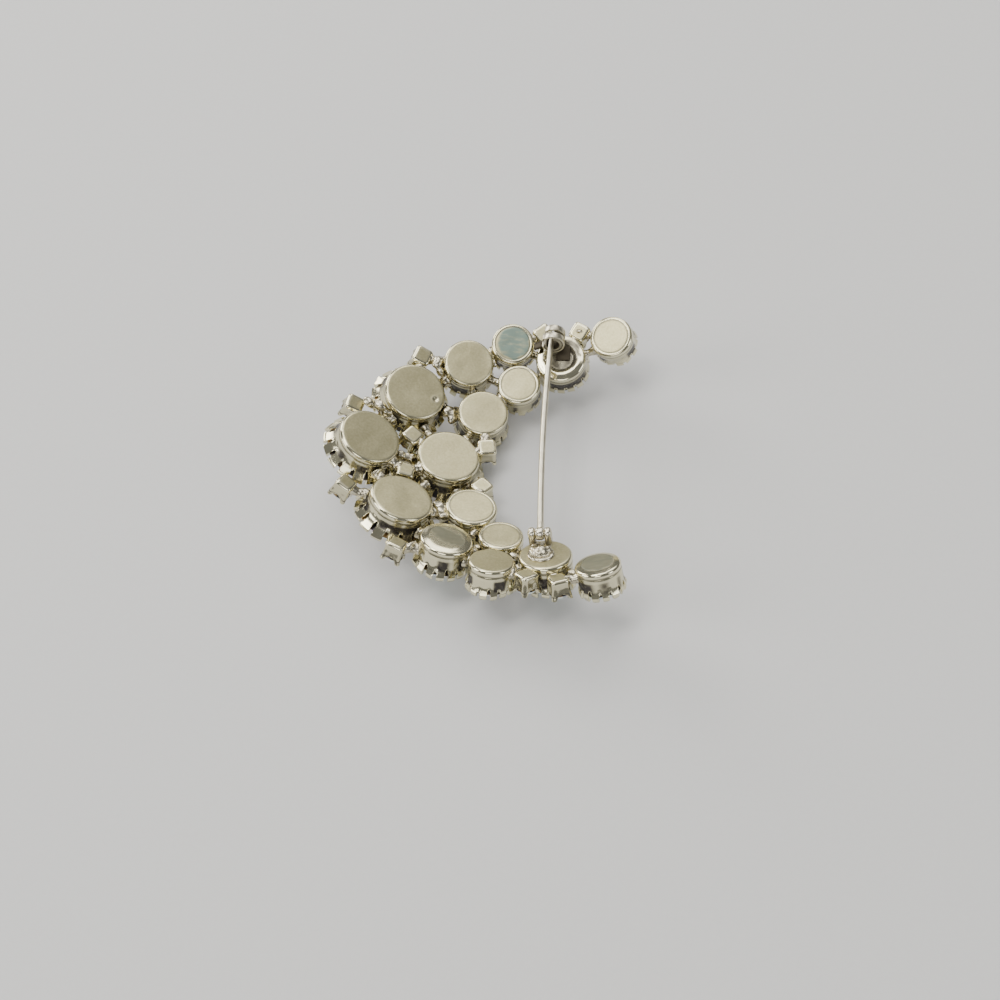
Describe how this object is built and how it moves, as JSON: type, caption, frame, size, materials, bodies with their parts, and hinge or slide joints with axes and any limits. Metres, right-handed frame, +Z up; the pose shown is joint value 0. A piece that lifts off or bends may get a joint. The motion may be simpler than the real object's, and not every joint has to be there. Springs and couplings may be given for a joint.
{
  "type": "crescent brooch",
  "caption": "Crescent brooch of claw-set stones seen from its back, lying face down, with a swinging pin on a two-eared joint and a roll-over catch whose sleeve turns.",
  "frame": {"origin": "centre of the brooch's footprint, on the surface that it lies on", "axes": "+Z up, out of the brooch's back; +Y from the pin's joint towards its catch; +X towards the open side of the crescent"},
  "size_m": [0.0464, 0.0538, 0.0124],
  "materials": {
    "plated_metal": "satin silver-tone plating on the backs, polished on the edges and walls",
    "pin_metal": "polished silver-tone wire and sheet",
    "round_stones": "clear cut glass",
    "square_setting_stones": "clear cut glass"
  },
  "bodies": {
    "brooch": {"setting_frame": "plated_metal", "round_stone_01": "round_stones", "round_stone_02": "round_stones", "round_stone_03": "round_stones", "round_stone_04": "round_stones", "round_stone_05": "round_stones", "round_stone_06": "round_stones", "round_stone_07": "round_stones", "round_stone_08": "round_stones", "round_stone_09": "round_stones", "round_stone_10": "round_stones", "round_stone_11": "round_stones", "round_stone_12": "round_stones", "round_stone_13": "round_stones", "round_stone_14": "round_stones", "round_stone_15": "round_stones", "round_stone_16": "round_stones", "square_stone_01": "square_setting_stones", "square_stone_02": "square_setting_stones", "square_stone_03": "square_setting_stones", "square_stone_04": "square_setting_stones", "square_stone_05": "square_setting_stones", "square_stone_06": "square_setting_stones", "square_stone_07": "square_setting_stones", "square_stone_08": "square_setting_stones", "square_stone_09": "square_setting_stones", "square_stone_10": "square_setting_stones", "square_stone_11": "square_setting_stones", "square_stone_12": "square_setting_stones"},
    "pin": {"pin_stem": "pin_metal"},
    "sleeve": {"catch_sleeve": "pin_metal"}
  },
  "joints": [
    {"name": "pin_swing", "type": "hinge", "parent": "brooch", "child": "pin", "pos_m": [0.0104, -0.01584, 0.00882], "axis": [0.9986, 0.0177, 0.0503], "range_deg": [0, 100]},
    {"name": "sleeve_roll", "type": "hinge", "parent": "brooch", "child": "sleeve", "pos_m": [0.01011, 0.02066, 0.01057], "axis": [0.0002, 1, 0.0018], "range_deg": [0, 125]}
  ]
}
